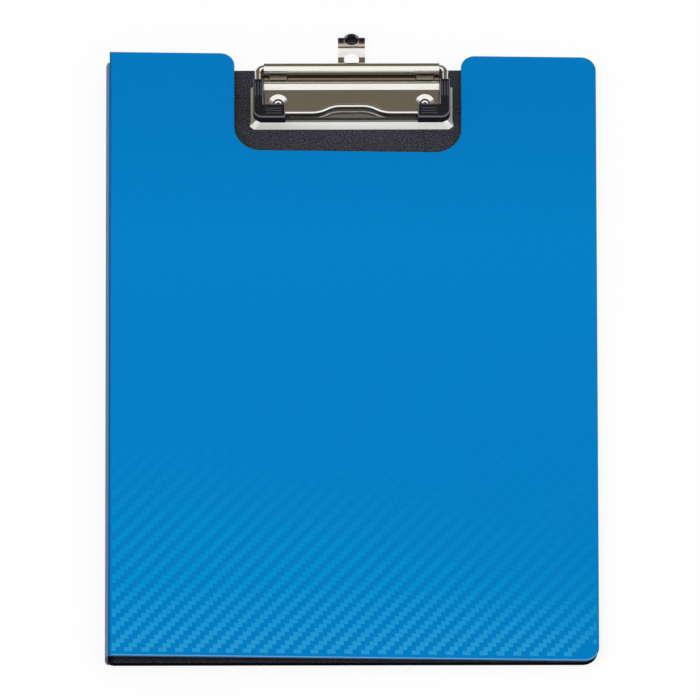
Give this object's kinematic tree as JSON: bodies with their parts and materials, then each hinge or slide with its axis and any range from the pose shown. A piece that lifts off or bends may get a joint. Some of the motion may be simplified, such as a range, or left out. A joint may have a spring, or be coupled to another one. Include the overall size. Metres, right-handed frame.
{
  "type": "clipboard folder",
  "caption": "A4 clipboard folder: black back board, bowed spine, blue embossed cover with a notch, and a wire-lever clip with a pull-out hanging eye.",
  "frame": {"origin": "centre of the back board's underside", "axes": "+X from the spine towards the free edge, +Y along the board towards the clip, +Z out of the board towards the cover"},
  "size_m": [0.2305, 0.3288, 0.0137],
  "materials": {
    "black_plastic": "fine grain",
    "blue_plastic": "satin, embossed twill",
    "nickel_steel": "polished nickel",
    "sleeve_plastic": "satin",
    "clear_film": "clear"
  },
  "bodies": {
    "board": {"back_board": "black_plastic", "clip_base_plate": "nickel_steel", "clip_rivets": "nickel_steel"},
    "spine": {"spine_strip": "black_plastic"},
    "cover": {"front_cover": "blue_plastic", "cover_lining": "black_plastic", "inner_pocket": "clear_film"},
    "jaw": {"jaw_plate": "nickel_steel"},
    "lever": {"lever_wire": "nickel_steel", "lever_sleeve_left": "sleeve_plastic", "lever_sleeve_right": "sleeve_plastic"},
    "hanger": {"hanger_tab": "nickel_steel", "hanger_knob": "sleeve_plastic"}
  },
  "joints": [
    {"name": "spine_fold", "type": "hinge", "parent": "board", "child": "spine", "pos_m": [-0.11425, 0, 0.0015], "axis": [0, -1, 0], "range_deg": [0, 180]},
    {"name": "cover_fold", "type": "hinge", "parent": "spine", "child": "cover", "pos_m": [-0.11425, 0, 0.0106], "axis": [0, -1, 0], "range_deg": [0, 180]},
    {"name": "jaw_tilt", "type": "hinge", "parent": "board", "child": "jaw", "pos_m": [0, 0.15012, 0.0076], "axis": [-1, 0, 0], "range_deg": [0, 12]},
    {"name": "lever_lift", "type": "hinge", "parent": "jaw", "child": "lever", "pos_m": [0, 0.1542, 0.0105], "axis": [-1, 0, 0], "range_deg": [0, 100]},
    {"name": "hanger_slide", "type": "slide", "parent": "board", "child": "hanger", "axis": [0, 1, 0], "range_m": [-0.0105, 0]}
  ],
  "couplings": [
    {"joint": "jaw_tilt", "follows": "lever_lift", "ratio": 0.12}
  ]
}
